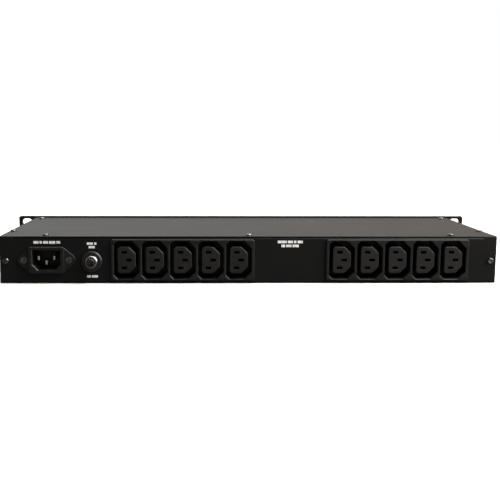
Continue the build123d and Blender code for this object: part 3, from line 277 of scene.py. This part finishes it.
# Each row is a material slot, the function that makes it, and that function's values.
FINISH_ROWS = (
    ("powder_black", powder_coat, (0.0032, 0.0033, 0.0036), (0.0048, 0.0046, 0.0043), 0.42, 0.28),
    ("panel_black", powder_coat, (0.0042, 0.0043, 0.0045), (0.0060, 0.0058, 0.0056), 0.40, 0.30),
    ("screw_black", metal, (0.22, 0.21, 0.20), (0.09, 0.085, 0.08), 0.25),
    ("screw_nickel", metal, (0.20, 0.195, 0.19), (0.10, 0.10, 0.095), 0.20),
    ("bushing_nickel", metal, (0.34, 0.33, 0.32), (0.20, 0.19, 0.18), 0.22),
    ("moulded_black", moulded, (0.0058, 0.0058, 0.0057), (0.0082, 0.0081, 0.0079), 0.42, 0.38),
    ("core_black", moulded, (0.0070, 0.0069, 0.0067), (0.0095, 0.0093, 0.0090), 0.50, 0.38),
    ("pin_nickel", metal, (0.78, 0.76, 0.72), (0.55, 0.53, 0.50), 0.16, (1.0, 0.1, 1.0)),
    ("nut_black", moulded, (0.0075, 0.0075, 0.0074), (0.0105, 0.0104, 0.0102), 0.36, 0.50),
    ("button_black", gloss, (0.006, 0.006, 0.006), 0.18, 0.6),
    ("rocker_black", gloss, (0.007, 0.007, 0.007), 0.30),
    ("lens_green", lens),
    ("lamp_plastic", moulded, (0.02, 0.02, 0.02), (0.03, 0.03, 0.03), 0.45, 0.5),
    ("brass", metal, (0.36, 0.26, 0.12), (0.20, 0.14, 0.07), 0.34),
    ("zinc_steel", metal, (0.62, 0.63, 0.64), (0.42, 0.43, 0.44), 0.30),
    ("tinned_copper", metal, (0.72, 0.71, 0.69), (0.5, 0.49, 0.47), 0.24),
    ("board_green", board),
    ("terminal_green", moulded, (0.03, 0.20, 0.07), (0.04, 0.24, 0.09), 0.42, 0.5),
    ("capacitor_yellow", gloss, (0.62, 0.42, 0.03), 0.3),
    ("varistor_blue", gloss, (0.02, 0.08, 0.36), 0.25),
    ("ferrite", moulded, (0.03, 0.03, 0.032), (0.05, 0.05, 0.05), 0.7, 0.4),
    ("sleeve_clear", moulded, (0.62, 0.62, 0.58), (0.7, 0.7, 0.66), 0.35, 0.5),
    ("wire_brown", insulation, (0.10, 0.035, 0.015)),
    ("wire_blue", insulation, (0.02, 0.08, 0.32)),
    ("wire_earth", insulation, (0.10, 0.35, 0.04), (0.75, 0.62, 0.03)),
    ("wire_lamp", insulation, (0.45, 0.03, 0.02)),
)
FINISHES = {slot: make(slot, *values) for slot, make, *values in FINISH_ROWS}
PRINT = ink("print_white")

for row in frame["record"]["subparts"]:
    mesh = nodes[row["node"]].data
    mesh.materials.clear()
    mesh.materials.append(FINISHES[row["material_slot"]])


# ---------------------------------------------------------------- printed marks on the outlet side
REAR_FACE_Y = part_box("base_pan")[0][1]
INK_THICKNESS = 0.04 * MM
INK_SUNK = INK_THICKNESS / 4
INK_CORNER = 0.12 * MM
GAP_SHARE = 0.10        # of a letter's pitch, between two blocks
SPACE_SHARE = 0.8       # of a letter's pitch, between two words
NARROW_SHARE = 0.86     # of a full block's width, for every third block


def printed(name, centre_x, centre_z, words, height, pitch):
    """A line of plain blocks, as wide as words of that many letters, in millimetres."""
    gap = GAP_SHARE * pitch
    space = SPACE_SHARE * pitch
    width = sum(words) * pitch - gap + (len(words) - 1) * space
    bm = bmesh.new()
    x = centre_x - width / 2
    bottom = (centre_z - height / 2) * MM
    top = (centre_z + height / 2) * MM
    for count in words:
        for place in range(count):
            narrow = (place + count) % 3 == 0
            across = (pitch - gap) * (NARROW_SHARE if narrow else 1.0)
            low = Vector((x * MM, REAR_FACE_Y - INK_THICKNESS, bottom))
            high = Vector(((x + across) * MM, REAR_FACE_Y + INK_SUNK, top))
            middle = (low + high) / 2
            size = high - low
            for v in bmesh.ops.create_cube(bm, size=1.0)["verts"]:
                v.co = Vector(middle[i] + v.co[i] * size[i] for i in range(3))
            x += pitch
        x += space
    data = bpy.data.meshes.new(name)
    bm.to_mesh(data)
    bm.free()
    data.materials.append(PRINT)
    piece = bpy.data.objects.new(name, data)
    scene.collection.objects.link(piece)
    bevel = piece.modifiers.new("soft corners", "BEVEL")
    bevel.width = INK_CORNER
    bevel.segments = 2
    bevel.affect = "VERTICES"
    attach(piece, "case")


printed("print_over_inlet", -180.0, 37.1, (4, 2, 4, 5, 3), 2.3, 1.12)
printed("print_over_breaker_1", -140.2, 36.0, (5, 2), 2.1, 1.12)
printed("print_over_breaker_2", -140.2, 32.8, (5,), 2.1, 1.12)
printed("print_under_breaker", -140.0, 6.4, (3, 5), 2.2, 1.12)
printed("print_middle_1", 36.7, 37.5, (7, 4, 2, 4), 2.3, 1.16)
printed("print_middle_2", 36.7, 33.9, (3, 4, 5), 2.3, 1.16)


# ---------------------------------------------------------------- floor
WHITE = (1.0, 1.0, 1.0)
FLOOR_RADIUS = 8.0
FLOOR_SEEN = (0.84, 0.84, 0.84)
FLOOR_REFLECTED = (0.10, 0.10, 0.10)
GLOW_START = 0.4        # metres from the middle, where the floor starts to turn white
GLOW_FULL = 2.0
FRONT_LIGHT = 0.03      # share of the surroundings' light that comes from the outlet side


def from_front(tree, y):
    """FRONT_LIGHT on the outlet side of the object, rising to 1 behind it."""
    return tree.ramp(y, FRONT_LIGHT, 1.0, start=-0.3, end=0.6)


def floor():
    """A round floor, pale to the camera and dark to reflections and bounced light. It also glows:
    white to the camera well away from the object, and as a light seen in reflections.
    """
    bm = bmesh.new()
    bmesh.ops.create_circle(bm, cap_ends=True, segments=96, radius=FLOOR_RADIUS)
    data = bpy.data.meshes.new("floor")
    bm.to_mesh(data)
    bm.free()
    piece = bpy.data.objects.new("floor", data)
    scene.collection.objects.link(piece)
    f = Finish("floor_pale", FLOOR_SEEN, 0.9, specular=0.1)
    seen = f.camera_ray()
    f.out("Base Color", f.mix(seen, FLOOR_REFLECTED, FLOOR_SEEN))
    distance = f.node("ShaderNodeVectorMath", operation="LENGTH")
    f.link(f.coords, distance.inputs[0])
    fade = f.share(distance.outputs["Value"], start=GLOW_START, end=GLOW_FULL)
    # Painted light: the floor glows like a lamp. To reflections the glow is dim on the outlet side
    # and bright behind the object.
    behind = f.maths("MAXIMUM", from_front(f, f.split(f.coords)["Y"]), seen)
    glow = f.node("ShaderNodeEmission")
    f.link(f.maths("MULTIPLY", fade, behind), glow.inputs["Strength"])
    both = f.node("ShaderNodeAddShader")
    f.link(f.shader.outputs[0], both.inputs[0])
    f.link(glow.outputs[0], both.inputs[1])
    f.link(both.outputs[0], f.tree.nodes["Material Output"].inputs["Surface"])
    data.materials.append(f.material)


floor()


# ---------------------------------------------------------------- light
SKY_LEFT = (0.76, 0.765, 0.76)
SKY_RIGHT = (0.62, 0.55, 0.49)


def softbox(name, place, target, size, watts, colour):
    """A rectangular area light at place, turned to target."""
    light = bpy.data.lights.new(name, "AREA")
    light.shape = "RECTANGLE"
    light.size, light.size_y = size
    light.energy = watts
    light.color = colour
    lamp = bpy.data.objects.new(name, light)
    lamp.location = place
    aim = Vector(target) - Vector(place)
    lamp.rotation_euler = aim.to_track_quat("-Z", "Y").to_euler()
    scene.collection.objects.link(lamp)


def surroundings():
    """White to the camera. To other rays dim in front, bright behind, warmer towards +X."""
    world = bpy.data.worlds.new("studio")
    world.use_nodes = True
    scene.world = world
    sky = Nodes(world.node_tree)
    direction = sky.split(sky.node("ShaderNodeTexCoord").outputs["Generated"])
    tint = sky.mix(sky.share(direction["X"], start=-0.25, end=0.35), SKY_LEFT, SKY_RIGHT)
    dimmed = sky.node("ShaderNodeVectorMath", operation="SCALE")
    sky.link(tint, dimmed.inputs[0])
    sky.link(from_front(sky, direction["Y"]), dimmed.inputs["Scale"])
    background = sky.tree.nodes["Background"]
    shown = sky.mix(sky.camera_ray(), dimmed.outputs["Vector"], WHITE)
    sky.link(shown, background.inputs["Color"])
    background.inputs["Strength"].default_value = 1.0


softbox("key_overhead", (0.95, -0.72, 1.30), (0.08, -0.05, 0.0), (1.1, 0.9), 40.0, (1.0, 0.985, 0.96))
softbox("top_strip", (0.15, 0.10, 1.25), (0.1, -0.08, 0.0), (1.8, 0.35), 26.0, (1.0, 0.99, 0.97))
softbox("warm_side", (1.15, -0.45, 0.50), (0.1, -0.08, 0.0), (0.6, 0.7), 14.0, (1.0, 0.94, 0.86))
surroundings()
scene.view_settings.view_transform = "Standard"


# ---------------------------------------------------------------- camera
CAMERA_PLACE = Vector((-0.0369, -0.7905, 0.1344))
CAMERA_YAW = math.radians(0.93)
CAMERA_PITCH = math.radians(8.34)
CAMERA_ROLL = math.radians(0.13)
CAMERA_LENS = 57.9
CAMERA_SENSOR = 36.0
CAMERA_SHIFT = 0.0585
CAMERA_NEAR = 0.01
CAMERA_FAR = 50.0

ahead = Vector((math.sin(CAMERA_YAW), math.cos(CAMERA_YAW), 0.0))
right = Vector((math.cos(CAMERA_YAW), -math.sin(CAMERA_YAW), 0.0))
forward = ahead * math.cos(CAMERA_PITCH) - Vector((0.0, 0.0, math.sin(CAMERA_PITCH)))
up = right.cross(forward)
rolled_right = right * math.cos(CAMERA_ROLL) + up * math.sin(CAMERA_ROLL)
rolled_up = up * math.cos(CAMERA_ROLL) - right * math.sin(CAMERA_ROLL)
turn = Matrix((rolled_right, rolled_up, -forward)).transposed().to_4x4()
camera_data = bpy.data.cameras.new("camera")
camera_data.lens = CAMERA_LENS
camera_data.sensor_width = CAMERA_SENSOR
camera_data.shift_x = CAMERA_SHIFT
camera_data.clip_start = CAMERA_NEAR
camera_data.clip_end = CAMERA_FAR
camera = bpy.data.objects.new("camera", camera_data)
camera.matrix_world = Matrix.Translation(CAMERA_PLACE) @ turn
scene.collection.objects.link(camera)
scene.camera = camera
